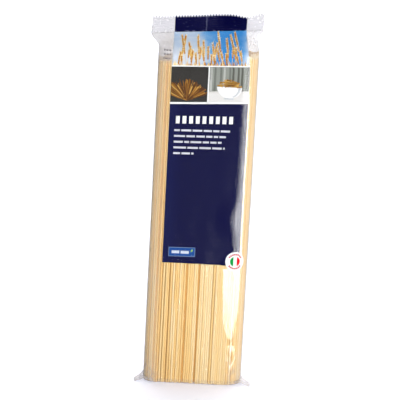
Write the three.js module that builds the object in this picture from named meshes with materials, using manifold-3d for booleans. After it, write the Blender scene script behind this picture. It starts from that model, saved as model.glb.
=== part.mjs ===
// Packet of long dry pasta: a clear film bag, pulled tight over an upright bundle of
// strands, standing on its folded-under end with the crimped seal on top.
// Millimetres, +Z up, printed front towards -Y, origin at the middle of the foot.

import * as THREE from 'three';
import { mergeVertices } from 'three/addons/utils/BufferGeometryUtils.js';
import Module from 'manifold-3d';

// Bundle and film, as standing
const packDepth = 23.4; // printed front to the back seam
const bodyWidth = 75.6;
const seamThickness = 0.8;
const bodyDepth = packDepth - seamThickness;
const cornerRadius = 9.5; // upright edges of the bundle
const footInset = 0.8; // the film draws in where it turns under the strand ends
const footRound = 1.5; // height of that turn

// Strands that show through the film
const strandPitch = 1.8;
const strandRelief = 0.45; // depth of the groove between two strands
const strandTop = 254.5; // height of the upper strand ends, at the middle
const strandTopSkew = 0.055; // the ends rise towards +X by this slope
const strandUnevenness = 1.6; // how much the upper ends differ in height
const strandEndTaper = 3; // height over which the grooves run out at the upper ends

// Printed front panel, where the film lies smoother over the strands
const panelWidth = 59.4;
const panelOffset = 2.2; // the print sits a little towards +X
const panelBottom = 95;
const panelRelief = 0.3; // share of the strand relief that is left under the print
const panelEdge = 3; // height over which the relief changes at the print's lower edge

// Crimped top seal
const sealRoot = 270.8; // height of the seal's lower line, at the middle
const sealHeight = 12;
const sealWidth = 82.4;
const sealOffset = -1.6; // the seal sits a little towards -X
const sealSkew = 0.07; // the seal's line rises towards +X by this slope
const sealThickness = 0.9;
const sealTuck = 0.5; // the crimped slab starts this far down inside the shoulders
const ribCount = 7;
const ribDepth = 0.3;
const toothPitch = 1.8;
const toothHeight = 0.8;
const toothRoot = 1.6; // depth of the toothed strip below the bottom of its notches
const toothThinning = 0.8; // share of the seal's thickness at the teeth
const sealSteps = 24; // flats along the seal that follow its bends

// Lean of the top seal, in degrees towards the front: one value all along and three bends
const sealLean = 8;
const sealBends = [
  { at: 27, reach: 9, angle: 22 },
  { at: 7, reach: 10, angle: -13 },
  { at: 42, reach: 6, angle: -14 },
];

// Shoulders between the strand ends and the seal: height above the strand ends, half
// width and half depth of the film, which pinches in and then flares out to the seal
const shoulders = [
  { rise: 3, halfWidth: 37.2, halfDepth: 10.2 },
  { rise: 6.5, halfWidth: 36.5, halfDepth: 7.4 },
  { rise: 9.5, halfWidth: 38.8, halfDepth: 4.9 },
  { rise: 12, halfWidth: 40.9, halfDepth: 2.9 },
  { rise: 14.5, halfWidth: 41.2, halfDepth: 1.4 },
  { rise: sealRoot - strandTop, halfWidth: sealWidth / 2, halfDepth: 0.75 },
  { rise: sealRoot - strandTop + 0.6, halfWidth: sealWidth / 2 - 0.1, halfDepth: 0.35 },
];

// Ears of the bottom seal, flat on the ground on either side of the foot
const earReach = 45; // from the middle to the tip, half the flat width of the film
const earFront = -11.2;
const earBack = 7.5;
const earThickness = 0.9;
const earRise = 3.6; // the film of the ear climbs this much where it meets the body
const earClimb = 5; // distance from the body over which it climbs
const earRibs = 7;
const earRibDepth = 0.25;
const earWidest = 0.35; // share of the way back at which the ear reaches furthest out

// Lap seam down the back
const seamWidth = 10;
const seamEdge = -3.1; // the edge that shows as a crease in the top seal
const seamEnd = 1.2; // the seam ends this far below the seal's top edge

const wasm = await Module();
wasm.setup();

// Repeatable random numbers from 0 to 1
function seededRandom(seed) {
  let state = seed;
  return () => {
    state = (state * 16807) % 2147483647;
    return state / 2147483647;
  };
}

function toSolid(geometry) {
  geometry.deleteAttribute('normal');
  geometry.deleteAttribute('uv');
  const merged = mergeVertices(geometry, 1e-4);
  return new wasm.Manifold(new wasm.Mesh({
    numProp: 3,
    vertProperties: new Float32Array(merged.attributes.position.array),
    triVerts: new Uint32Array(merged.index.array),
  }));
}

function toGeometry(solid) {
  const mesh = solid.getMesh();
  const geometry = new THREE.BufferGeometry();
  geometry.setAttribute('position', new THREE.BufferAttribute(mesh.vertProperties, mesh.numProp));
  geometry.setIndex(new THREE.BufferAttribute(mesh.triVerts, 1));
  geometry.computeVertexNormals();
  return geometry;
}

// A box whose points, given as shares 0 to 1 along each side, are placed by a function
function shapedBox(stepsX, stepsY, stepsZ, place) {
  const geometry = new THREE.BoxGeometry(1, 1, 1, stepsX, stepsY, stepsZ);
  const position = geometry.attributes.position;
  for (let i = 0; i < position.count; i += 1) {
    const [x, y, z] = place(position.getX(i) + 0.5, position.getY(i) + 0.5, position.getZ(i) + 0.5);
    position.setXYZ(i, x, y, z);
  }
  return toSolid(geometry);
}

const bump = (distance) => Math.exp(-distance * distance);

// Angle of the top seal towards the front, in radians
function leanAt(x) {
  const bends = sealBends.reduce(
    (sum, bend) => sum + bend.angle * bump((x - bend.at) / bend.reach),
    0,
  );
  return THREE.MathUtils.degToRad(sealLean + bends);
}

const bodyMiddleY = -seamThickness / 2;

// Middle of the film at the seal, a given way up from the seal's lower line
function sealPoint(x, up) {
  const lean = leanAt(x);
  return {
    y: bodyMiddleY - up * Math.sin(lean),
    z: sealRoot + sealSkew * x + up * Math.cos(lean),
  };
}

// Outline of the bundle, from the middle of the front round by +X
function bundleOutline() {
  const flatX = bodyWidth / 2 - cornerRadius;
  const flatY = bodyDepth / 2 - cornerRadius;
  const outline = new THREE.Path();
  outline.moveTo(0, -bodyDepth / 2);
  outline.lineTo(flatX, -bodyDepth / 2);
  outline.absarc(flatX, -flatY, cornerRadius, -Math.PI / 2, 0);
  outline.lineTo(bodyWidth / 2, flatY);
  outline.absarc(flatX, flatY, cornerRadius, 0, Math.PI / 2);
  outline.lineTo(-flatX, bodyDepth / 2);
  outline.absarc(-flatX, flatY, cornerRadius, Math.PI / 2, Math.PI);
  outline.lineTo(-bodyWidth / 2, -flatY);
  outline.absarc(-flatX, -flatY, cornerRadius, Math.PI, Math.PI * 1.5);
  outline.lineTo(0, -bodyDepth / 2);
  return outline;
}

// One column of points for each ridge and each groove between strands
function strandColumns() {
  const random = seededRandom(41);
  const outline = bundleOutline();
  const around = outline.getLength();
  const count = 2 * Math.round(around / strandPitch);
  return Array.from({ length: count }, (_, index) => {
    const share = index / count;
    const point = outline.getPoint(share);
    const tangent = outline.getTangent(share);
    const fromFront = (share > 0.5 ? share - 1 : share) * around;
    const isGroove = index % 2 === 1;
    return {
      x: point.x,
      y: point.y,
      inwardX: -tangent.y,
      inwardY: tangent.x,
      relief: strandRelief * (isGroove ? 0.8 + 0.4 * random() : 0.3 * random()),
      underPrint: Math.abs(fromFront - panelOffset) < panelWidth / 2,
      topShift: strandUnevenness * (random() - 0.5),
    };
  });
}

// Levels of the body from the foot up: each says how a column's point is placed on it
function bodyLevels() {
  const whole = { halfWidth: bodyWidth / 2, halfDepth: bodyDepth / 2 };
  const film = [
    { z: 0, inset: footInset, relief: 1, ...whole },
    { z: footRound, relief: 1, ...whole },
    { z: panelBottom - panelEdge / 2, relief: 1, ...whole },
    { z: panelBottom + panelEdge / 2, relief: 1, smooth: true, ...whole },
    { z: strandTop - strandEndTaper, relief: 1, smooth: true, strandEnd: true, ...whole },
    { z: strandTop, relief: 0, strandEnd: true, ...whole },
  ];
  const upper = shoulders.map((ring) => ({
    z: strandTop + ring.rise,
    relief: 0,
    halfWidth: ring.halfWidth,
    halfDepth: ring.halfDepth,
    toSeal: Math.min(1, ring.rise / (sealRoot - strandTop)),
  }));
  return [...film, ...upper];
}

function bodyPoint(column, level) {
  const printed = level.smooth && column.underPrint ? panelRelief : 1;
  const inward = column.relief * level.relief * printed + (level.inset ?? 0);
  const toSeal = level.toSeal ?? 0;
  const x = column.x * (level.halfWidth / (bodyWidth / 2)) + column.inwardX * inward;
  const y = column.y * (level.halfDepth / (bodyDepth / 2)) + column.inwardY * inward;
  const skew = THREE.MathUtils.lerp(strandTopSkew, sealSkew, toSeal) * x;
  const isUpper = level.strandEnd || toSeal > 0;
  return [
    x + sealOffset * toSeal,
    y + bodyMiddleY,
    level.z + (isUpper ? skew : 0) + (level.strandEnd ? column.topShift : 0),
  ];
}

// The bundle in its film, from the flat foot to the lower line of the top seal
function bodySolid() {
  const columns = strandColumns();
  const levels = bodyLevels();
  const geometry = new THREE.CylinderGeometry(1, 1, 1, columns.length, levels.length - 1);
  geometry.rotateX(Math.PI / 2);
  const position = geometry.attributes.position;
  for (let i = 0; i < position.count; i += 1) {
    const level = levels[Math.round((position.getZ(i) + 0.5) * (levels.length - 1))];
    const isRim = Math.hypot(position.getX(i), position.getY(i)) > 0.5;
    if (isRim) {
      const turn = Math.atan2(position.getX(i), -position.getY(i)) / (2 * Math.PI);
      const index = Math.round(turn * columns.length + columns.length) % columns.length;
      position.setXYZ(i, ...bodyPoint(columns[index], level));
    } else {
      const middle = sealOffset * (level.toSeal ?? 0);
      position.setXYZ(i, middle, bodyMiddleY, level.z + (level.toSeal ? sealSkew * middle : 0));
    }
  }
  return toSolid(geometry);
}

// Slab of crimped film: ribs run along the seal, and the top edge is cut in small teeth
function sealSolid() {
  const left = sealOffset - sealWidth / 2;
  const atX = (share) => left + sealWidth * share;
  const place = (x, up, side) => {
    const point = sealPoint(x, up);
    return [x, point.y + side, point.z];
  };
  const ribSteps = 2 * ribCount;
  const ribbed = shapedBox(sealSteps, 1, ribSteps, (along, across, upward) => {
    const step = Math.round(upward * ribSteps);
    const isEdge = step === 0 || step === ribSteps;
    const ripple = isEdge ? 0 : ribDepth * (step % 2 === 0 ? 0.5 : -0.5);
    const up = (sealHeight - toothHeight) * upward - sealTuck;
    return place(atX(along), up, (across - 0.5) * sealThickness + ripple);
  });
  const toothSteps = 2 * Math.round(sealWidth / toothPitch);
  const teeth = shapedBox(toothSteps, 1, 1, (along, across, upward) => {
    const isTip = Math.round(along * toothSteps) % 2 === 1;
    const notch = sealHeight - toothHeight;
    const top = isTip ? sealHeight : notch;
    const up = upward > 0.5 ? top : notch - toothRoot;
    return place(atX(along), up, (across - 0.5) * sealThickness * toothThinning);
  });
  return ribbed.add(teeth);
}

// Ear of the bottom seal on one side (-1 or 1): a thin flap, rising where it meets the body
function earSolid(side) {
  const inner = bodyWidth / 2 - cornerRadius * 0.6;
  const ribSteps = 2 * earRibs;
  const place = (along, across, upward) => {
    const outline = Math.sqrt(Math.max(0, 1 - ((across - earWidest) / (1 - earWidest)) ** 2));
    const outer = bodyWidth / 2 + (earReach - bodyWidth / 2) * outline;
    const outward = side > 0 ? along : 1 - along;
    const x = side * THREE.MathUtils.lerp(inner, outer, outward);
    const y = THREE.MathUtils.lerp(earFront, earBack, across);
    const nearBody = 1 - (Math.abs(x) - bodyWidth / 2) / earClimb;
    const climb = THREE.MathUtils.clamp(nearBody, 0, 1) ** 2 * (1 + across) * 0.5;
    const isRib = Math.round(across * ribSteps) % 2 === 1;
    return [x, y, upward * (earThickness + earRise * climb + (isRib ? earRibDepth : 0))];
  };
  return shapedBox(6, ribSteps, 1, place);
}

// Lap seam down the back, from the foot over the shoulder to the top of the seal
function seamSolid() {
  const route = [
    { z: footRound, back: bodyDepth / 2 },
    { z: strandTop, back: bodyDepth / 2 },
    ...shoulders.slice(0, -2).map((ring) => ({ z: strandTop + ring.rise, back: ring.halfDepth })),
  ].map((step) => ({ y: bodyMiddleY + step.back, z: step.z }));
  [0, sealHeight - seamEnd].forEach((up) => {
    const point = sealPoint(seamEdge + seamWidth / 2, up);
    route.push({ y: point.y + sealThickness / 2, z: point.z });
  });
  return shapedBox(1, 1, route.length - 1, (along, across, upward) => {
    const step = route[Math.round(upward * (route.length - 1))];
    const onSeal = step.z > sealRoot;
    const buried = onSeal ? sealThickness * 0.6 : strandRelief * 2;
    const proud = onSeal ? seamThickness / 2 : seamThickness;
    return [
      seamEdge + seamWidth * along,
      step.y + (across > 0.5 ? proud : -buried),
      step.z,
    ];
  });
}

function filmBag() {
  const solid = bodySolid()
    .add(sealSolid())
    .add(earSolid(-1))
    .add(earSolid(1))
    .add(seamSolid());
  const material = new THREE.MeshStandardMaterial({
    color: new THREE.Color(0xf1ce93),
    roughness: 0.3,
    metalness: 0,
  });
  const mesh = new THREE.Mesh(toGeometry(solid), material);
  mesh.name = 'film_bag';
  return mesh;
}

const packet = new THREE.Group();
packet.add(filmBag());

export default packet;
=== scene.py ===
# Packet of long dry pasta in a clear printed film bag.
# Lengths are in millimetres until a point goes into a mesh; +Z is up and the print faces -Y.

import math
import random

import bmesh
import bpy
import numpy as np
from mathutils import Matrix, Vector, noise


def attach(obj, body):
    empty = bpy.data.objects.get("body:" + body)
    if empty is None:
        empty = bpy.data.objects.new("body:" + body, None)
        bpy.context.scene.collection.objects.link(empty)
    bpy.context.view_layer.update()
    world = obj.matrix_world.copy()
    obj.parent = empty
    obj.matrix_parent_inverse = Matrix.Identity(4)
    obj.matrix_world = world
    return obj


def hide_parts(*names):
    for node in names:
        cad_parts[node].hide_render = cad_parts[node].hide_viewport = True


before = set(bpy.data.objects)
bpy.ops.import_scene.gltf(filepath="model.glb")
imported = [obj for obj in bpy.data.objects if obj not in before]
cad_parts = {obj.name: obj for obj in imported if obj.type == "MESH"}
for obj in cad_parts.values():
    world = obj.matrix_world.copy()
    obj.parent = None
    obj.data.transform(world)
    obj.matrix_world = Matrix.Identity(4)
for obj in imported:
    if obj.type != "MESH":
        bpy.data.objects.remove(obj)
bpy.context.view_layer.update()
print("Frame loaded")

mm = 0.001


# Small helpers


def smooth(low, high, value):
    share = min(1.0, max(0.0, (value - low) / (high - low)))
    return share * share * (3 - 2 * share)


def window(limits, value):  # 0, then 1, then 0 again, by four limits
    low, lowFull, highFull, high = limits
    return smooth(low, lowFull, value) * (1 - smooth(highFull, high, value))


def blend(start, end, share):
    return start + (end - start) * share


def ink(red, green, blue):  # screen colour, 0 to 255, to a linear colour with alpha
    return tuple((c / 255) ** 2.2 for c in (red, green, blue)) + (1.0,)


def makeObject(name, mesh, material):
    made = bpy.data.objects.new(name, mesh)
    bpy.context.scene.collection.objects.link(made)
    mesh.materials.append(material)
    return made


def thicken(piece, thickness):  # real film has a back and an edge too
    shell = piece.modifiers.new("film thickness", "SOLIDIFY")
    shell.thickness = thickness * mm
    shell.offset = -1
    return piece


def sheetMesh(columns, rows, place, closed=False):
    # a grid of quads over two lists of values; closed joins the last column to the first
    sheet = bmesh.new()
    grid = [[sheet.verts.new(Vector(place(c, r)) * mm) for c in columns] for r in rows]
    last = len(columns) if closed else len(columns) - 1
    for lower, upper in zip(grid, grid[1:]):
        for i in range(last):
            j = (i + 1) % len(columns)
            sheet.faces.new((lower[i], lower[j], upper[j], upper[i]))
    for face in sheet.faces:
        face.smooth = True
    return sheet


def pieceFrom(name, sheet, material):
    mesh = bpy.data.meshes.new(name)
    sheet.to_mesh(mesh)
    sheet.free()
    return makeObject(name, mesh, material)


# Camera, as the photograph was taken

cameraView = {
    "distance": 1400.0,
    "elevation": 11.4231,
    "yaw": -1.0581,
    "roll": 3.0296,
    "aim": (-0.9978, 0.0, 142.1777),
    "lens": 166.01,
    "sensor": 36.0,
}


def makeCamera():
    up, turn, roll = (math.radians(cameraView[k]) for k in ("elevation", "yaw", "roll"))
    back = Vector((math.sin(turn) * math.cos(up), -math.cos(turn) * math.cos(up), math.sin(up)))
    right = Vector((math.cos(turn), math.sin(turn), 0))
    above = back.cross(right)
    sideways = right * math.cos(roll) + above * math.sin(roll)
    upwards = above * math.cos(roll) - right * math.sin(roll)
    data = bpy.data.cameras.new("photo_camera")
    data.sensor_width = cameraView["sensor"]
    data.lens = cameraView["lens"]
    data.clip_start, data.clip_end = 0.05, 50
    camera = bpy.data.objects.new("photo_camera", data)
    place = (Vector(cameraView["aim"]) + back * cameraView["distance"]) * mm
    turned = Matrix((sideways, upwards, back)).transposed().to_4x4()
    camera.matrix_world = Matrix.Translation(place) @ turned
    bpy.context.scene.collection.objects.link(camera)
    bpy.context.scene.camera = camera


makeCamera()
print("Camera set")


# The film as a surface: "around" runs from the middle of the front towards +X, and
# "level" runs up from the foot to the lower line of the top seal

bag = {
    "width": 75.6,
    "depth": 22.6,
    "middleY": -0.4,
    "corners": (13.2, 9.0, 9.5, 9.5),  # front right, back right, back left, front left
    "strandTop": 254.5,
    "strandTopSkew": 0.055,
    "skewLevels": (90, 250),  # the slant grows between these levels
    "sealRoot": 270.8,
    "sealSkew": 0.07,
    "sealHeight": 12.0,
    "sealWidth": 82.4,
    "sealOffset": -1.6,
    "foldAt": 45.0,  # the flat bag folds here, on the outline
    "shoulderFrom": 244.0,
    "leftFlare": 1.1,  # how much wider the seal is at its lower left corner
    "flareFrom": (29, 42),  # the flare grows between these distances from the middle
}
shoulders = (  # level above the strand ends, half width, half depth
    (0, 37.8, 11.3),
    (3, 37.2, 10.2),
    (6.5, 36.6, 7.4),
    (9.5, 37.9, 4.9),
    (12, 39.6, 2.9),
    (14.5, 40.8, 1.4),
    (16.3, 41.2, 0.75),
    (20, 41.2, 0.75),
)


cornerSides = ((1, -1), (1, 1), (-1, 1), (-1, -1))  # x and y side, in the order of the corners


def makeOutline():
    halfX, halfY = bag["width"] / 2, bag["depth"] / 2
    points = [(0, -halfY)]
    for turn, (radius, (sideX, sideY)) in enumerate(zip(bag["corners"], cornerSides)):
        middleX, middleY = sideX * (halfX - radius), sideY * (halfY - radius)
        angles = np.radians(np.linspace(90 * turn - 90, 90 * turn, 49))
        points += zip(middleX + radius * np.cos(angles), middleY + radius * np.sin(angles))
    points = np.array(points + [(0, -halfY)])
    steps = np.hypot(*np.diff(points, axis=0).T)
    return np.concatenate([[0], np.cumsum(steps)]), points


outlineRun, outlinePoints = makeOutline()
outlineLength = float(outlineRun[-1])

shoulderStart, shoulderStep, softenSteps = -6, 0.25, 12
shoulderLevels = np.arange(shoulderStart, 20, shoulderStep)
softening = np.exp(-((np.arange(-softenSteps, softenSteps + 1) * shoulderStep) ** 2) / 2)
softening /= softening.sum()


def softened(values):
    padded = np.pad(values, softenSteps, mode="edge")
    return np.convolve(padded, softening, mode="valid")


tableLevels, *tableHalves = np.array(shoulders).T
halfWidths, halfDepths = (
    softened(np.interp(shoulderLevels, tableLevels, half)) for half in tableHalves
)


def skewAt(level):
    upper = bag["sealSkew"] - bag["strandTopSkew"]
    grown = smooth(*bag["skewLevels"], level)
    return bag["strandTopSkew"] * grown + upper * smooth(bag["strandTop"], bag["sealRoot"], level)


def bagPoint(around, level):
    run = around % outlineLength
    x = float(np.interp(run, outlineRun, outlinePoints[:, 0]))
    y = float(np.interp(run, outlineRun, outlinePoints[:, 1]))
    rise = level - bag["strandTop"]
    if rise > shoulderStart:
        toSeal = smooth(-1, bag["sealRoot"] - bag["strandTop"], rise)
        halfWidth = float(np.interp(rise, shoulderLevels, halfWidths))
        halfDepth = float(np.interp(rise, shoulderLevels, halfDepths))
        fold = bag["foldAt"]
        backWidth = outlineLength - 2 * fold
        if run < fold:
            flat, side = run / fold, -1
        elif run < outlineLength - fold:
            flat, side = 1 - 2 * (run - fold) / backWidth, 1
        else:
            flat, side = (run - outlineLength) / fold, -1
        lens = side * bag["depth"] / 2 * (1 - abs(flat) ** 3) ** 0.6  # a flat, full lens
        x = blend(x * halfWidth * 2 / bag["width"], flat * halfWidth, toSeal)
        x += bag["sealOffset"] * toSeal
        x -= bag["leftFlare"] * toSeal * smooth(*bag["flareFrom"], -x)
        y = blend(y, lens, toSeal) * halfDepth * 2 / bag["depth"]
    return Vector((x, y + bag["middleY"], level + skewAt(level) * x))


def bagOutward(around, level):
    here = bagPoint(around, level)
    along = bagPoint(around + 0.3, level) - here
    upward = bagPoint(around, level + 0.3) - here
    return along.cross(upward).normalized()


# Where the film stands off the strands. Two facets catch the light; "left" is a facet's
# left edge by level, and it fades in and out at its four levels

pocket = {
    "slope": 0.15,
    "end": 27.6,
    "edge": 0.9,
    "left": ((33, 26.0), (38, 23.4), (44, 21.5), (52, 20.0), (97.5, 17.8)),
    "levels": (33, 36, 93, 100),
}
bulge = {  # the film runs straight off the corner here, and bends back softly
    "tilt": 0.41,
    "bend": 1.3,
    "onset": 14.0,
    "end": 40.0,
    "left": (
        *((104, 33.0), (110.5, 30.4), (116, 27.6), (122, 25.1), (128, 23.8)),
        *((133, 23.5), (139, 24.7), (145, 26.9), (152, 29.8), (160, 32.0)),
    ),
    "levels": (103, 107, 158, 164),
}
slackness = {
    "slack": 0.16,
    "waves": 0.07,  # finer, where nothing is printed
    "printed": ((-30, -27, 30, 33), (92, 98)),  # across, and from the foot up
}
creases = (  # from (around, level) to (around, level), width, height
    ((34.0, 271), (30.5, 258), 0.7, 0.55),
    ((38.5, 271), (34.0, 259), 0.8, 0.5),
    ((40.5, 270), (38.0, 262), 0.7, 0.4),
    ((-41.0, 269), (-34.0, 260), 0.9, 0.4),
    ((-37.0, 270), (-31.5, 262), 0.8, 0.3),
    ((-3.5, 271), (-2.0, 265), 0.8, 0.5),
    ((-9.0, 271), (-9.8, 266), 0.6, 0.3),
    ((30.0, 30), (33.0, 14), 0.6, 0.25),
    ((27.5, 31), (29.0, 20), 0.5, 0.2),
    ((33.5, 24), (28.5, 9), 0.6, 0.25),
    ((-33.0, 20), (-28.0, 5), 0.8, 0.3),
)


def creaseLift(around, level, crease):
    (startA, startL), (endA, endL), width, height = crease
    runA, runL = endA - startA, endL - startL
    length = math.hypot(runA, runL)
    along = ((around - startA) * runA + (level - startL) * runL) / length**2
    if along < -0.1 or along > 1.1:
        return 0.0
    away = abs((around - startA) * runL - (level - startL) * runA) / length
    if away > 3 * width:
        return 0.0
    return height * window((-0.1, 0.25, 0.6, 1.1), along) * math.exp(-((away / width) ** 2))


def facetEdge(facet, level):  # its left edge, and how fully it stands out at this level
    low, _, _, high = facet["levels"]
    if not low < level < high:
        return 0.0, 0.0
    levels, lefts = zip(*facet["left"])
    return float(np.interp(level, levels, lefts)), window(facet["levels"], level)


def pocketLift(around, level):
    left, full = facetEdge(pocket, level)
    if full == 0 or not left - pocket["edge"] < around < pocket["end"]:
        return 0.0
    onset = smooth(left - pocket["edge"], left, around)
    return pocket["slope"] * (pocket["end"] - max(left, around)) * onset * full


def bulgeLift(around, level):
    left, full = facetEdge(bulge, level)
    if full == 0 or not 0 < around < bulge["end"]:
        return 0.0
    tilt, bend = bulge["tilt"], bulge["bend"]
    past = (around - left) / bend
    at = left + bend * (math.log1p(math.exp(past)) if past < 30 else past)
    radius = bag["corners"][0]
    straight = bag["width"] / 2 - radius
    turned = max(0.0, at - straight) / radius
    off = radius * max(0.0, tilt - turned) ** 2 / 2 + max(0.0, straight - at) * tilt
    return off * smooth(left - bulge["onset"], left, around) * full


def filmLift(around, level):
    near = around if around < outlineLength / 2 else around - outlineLength
    slack = noise.noise(Vector((near * 0.09, level * 0.018, 3.1)))
    waves = noise.noise(Vector((near * 0.35, level * 0.05, 8.7)))
    across, upward = slackness["printed"]
    bare = 1 - window(across, near) * smooth(*upward, level)
    lift = slackness["slack"] * (slack + 0.3) + slackness["waves"] * waves * bare
    lift = max(0.0, lift) + pocketLift(near, level) + bulgeLift(near, level)
    return lift + sum(creaseLift(near, level, crease) for crease in creases)


def filmPoint(around, level, lift=0.0):
    out = bagOutward(around, level)
    return bagPoint(around, level) + out * (filmLift(around, level) + lift)


sealScale = bag["sealWidth"] / 2 / bag["foldAt"]


def onFilm(across, height, lift=0.0):  # the same, by the real height of the point
    around, level = across, height
    straight = bag["shoulderFrom"]  # from here up, what is printed runs straight to the seal
    share = max(0.0, min(1.0, (height - straight) / (bag["sealRoot"] - straight)))
    flat = across * sealScale + bag["sealOffset"]
    for _ in range(5 if share > 0 else 2):  # rounds that settle the point
        x = bagPoint(around, level).x
        level = height - skewAt(level) * x
        if share > 0:
            around += blend(bagPoint(across, straight).x, flat, share) - x
    return filmPoint(around, level, lift)


# The crimped top seal as a surface: x along it, "up" from its lower line

seal = {
    "lean": 8,
    "bends": ((27, 9, 22), (7, 10, -13), (42, 6, -14)),  # at, reach, degrees
    "ribs": 7,
    "ribDepth": 0.1,
    "ribEnds": (0, 1, 10.4, 11.2),  # the ribs fade in and out at these heights
    "rows": 45,
    "toothPitch": 2.1,
    "toothHeight": 1.5,
    "toothRise": 0.7,  # how far the teeth stand above the seal's height
    "seamRidge": (-3.1, 0.45, 0.4),  # the lap seam's edge: at, width, height
}


def sealLift(x, up):
    fade = window(seal["ribEnds"], up)
    rib = seal["ribDepth"] * math.sin(2 * math.pi * up * seal["ribs"] / bag["sealHeight"])
    at, width, height = seal["seamRidge"]
    drift = 0.25 * math.sin(up * 0.7)
    ridge = height * math.exp(-(((x - at - drift) / width) ** 2)) * (1 - 0.3 * fade)
    ripple = 0.12 * noise.noise(Vector((x * 0.35, up * 0.3, 5.0)))
    return rib * fade + ridge + ripple


def sealPoint(x, up, lift=0.0):
    x -= bag["leftFlare"] * smooth(*bag["flareFrom"], -x) * (1 - up / bag["sealHeight"])
    bends = sum(angle * math.exp(-(((x - at) / reach) ** 2)) for at, reach, angle in seal["bends"])
    lean = math.radians(seal["lean"] + bends)
    root = Vector((x, bag["middleY"], bag["sealRoot"] + bag["sealSkew"] * x))
    upward = Vector((0, -math.sin(lean), math.cos(lean)))
    forward = Vector((0, -math.cos(lean), -math.sin(lean)))
    return root + upward * up + forward * (lift + sealLift(x, up))


# Shaders


class Socket:  # a shader's number or colour; Python's operators add Math nodes
    def __init__(self, shader, output):
        self.shader = shader
        self.output = output

    def math(self, operation, first, second):
        return self.shader.node("Math", {"operation": operation}, {0: first, 1: second})

    def __add__(self, other):
        return self.math("ADD", self, other)

    def __radd__(self, other):
        return self.math("ADD", other, self)

    def __sub__(self, other):
        return self.math("SUBTRACT", self, other)

    def __rsub__(self, other):
        return self.math("SUBTRACT", other, self)

    def __mul__(self, other):
        return self.math("MULTIPLY", self, other)

    def __rmul__(self, other):
        return self.math("MULTIPLY", other, self)

    def __pow__(self, other):
        return self.math("POWER", self, other)


class Shader:
    def __init__(self, owner):  # a material or the world
        owner.use_nodes = True
        self.owner = owner
        self.tree = owner.node_tree
        self.tree.nodes.clear()

    def node(self, kind, settings=None, inputs=None, output=0):
        made = self.tree.nodes.new("ShaderNode" + kind)
        for name, value in (settings or {}).items():
            if name == "stops":
                stops = made.color_ramp.elements
                while len(stops) < len(value):
                    stops.new(0.5)
                for stop, (position, colour) in zip(stops, value):
                    stop.position, stop.color = position, colour
            else:
                setattr(made, name, value)
        for name, value in (inputs or {}).items():
            if isinstance(value, Socket):
                self.tree.links.new(value.output, made.inputs[name])
            else:
                made.inputs[name].default_value = value
        return Socket(self, made.outputs[output]) if made.outputs else None

    def noise(self, scale, detail=2.0, distortion=0.0):  # stretched over the piece
        here = self.node("TexCoord", output="Object")
        place = self.node("Mapping", {}, {"Vector": here, "Scale": scale})
        inputs = {"Vector": place, "Scale": 1.0, "Detail": detail, "Distortion": distortion}
        return self.node("TexNoise", {}, inputs, "Fac")

    def axis(self, name):  # X, Y or Z of the point on the piece, in metres
        here = self.node("TexCoord", output="Object")
        return self.node("SeparateXYZ", {}, {"Vector": here}, name)

    def step(self, value, low, high):  # 0 below low, 1 above high
        settings = {"interpolation_type": "SMOOTHSTEP"}
        return self.node("MapRange", settings, {"Value": value, "From Min": low, "From Max": high})

    def mix(self, share, first, second):
        return self.node("Mix", {"data_type": "RGBA"}, {0: share, 6: first, 7: second}, 2)

    def bump(self, height, distance, strength=1.0):
        inputs = {"Height": height, "Distance": distance, "Strength": strength}
        return self.node("Bump", {}, inputs)

    def finish(self, surface):
        kind = "OutputWorld" if self.owner.id_type == "WORLD" else "OutputMaterial"
        self.node(kind, {}, {"Surface": surface})
        return self.owner

    def paint(self, colour, normal=None, roughness=0.5, specular=0.0):  # an opaque finish
        inputs = {"Base Color": colour, "Roughness": roughness, "Specular IOR Level": specular}
        if normal is not None:
            inputs["Normal"] = normal
        return self.finish(self.node("BsdfPrincipled", {}, inputs))


def newShader(name):
    return Shader(bpy.data.materials.new(name))


# Dry pasta

pastaLook = {
    "pale": ink(247, 226, 180),
    "gold": ink(243, 209, 143),
    "amber": ink(232, 182, 104),
    "deep": ink(214, 160, 86),  # painted shade, between the strands and on the rows behind
    "cutTops": (0.2495, 0.2515),  # metres; from here up the painted shade is taken back, and the cut ends are pale
}


def makePasta():
    shader = newShader("dry_pasta")
    # each strand's own tone, less the painted shade between strands and on the rows behind
    shade = shader.node("Attribute", {"attribute_name": "strandShade"}, output="Fac")
    streaks = shader.noise((1500, 1500, 30), detail=3)
    clouds = shader.noise((120, 120, 12))
    facing = shader.node("TexCoord", output="Normal")
    upright = shader.node("SeparateXYZ", {}, {"Vector": facing}, "Z")
    # the cut faces are pale, and near the strand tops the painted shade is lifted
    cutEnd = shader.step(upright * upright, 0.5, 0.8)
    top = shader.axis("Z") - shader.axis("X") * bag["strandTopSkew"]
    ends = cutEnd + shader.step(top, *pastaLook["cutTops"])
    tone = shade + (streaks - 0.5) * 0.12 + (clouds - 0.5) * 0.2 + ends * 0.45
    stops = zip((0.0, 0.3, 0.6, 1.0), (pastaLook[k] for k in ("deep", "amber", "gold", "pale")))
    colour = shader.node("ValToRGB", {"stops": list(stops)}, {"Fac": tone}, "Color")
    flour = shader.noise((3000, 3000, 900))
    return shader.paint(colour, shader.bump(flour + streaks, 0.00006, 0.5), specular=0.35)


# Clear film, with a little haze where it is crumpled

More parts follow.
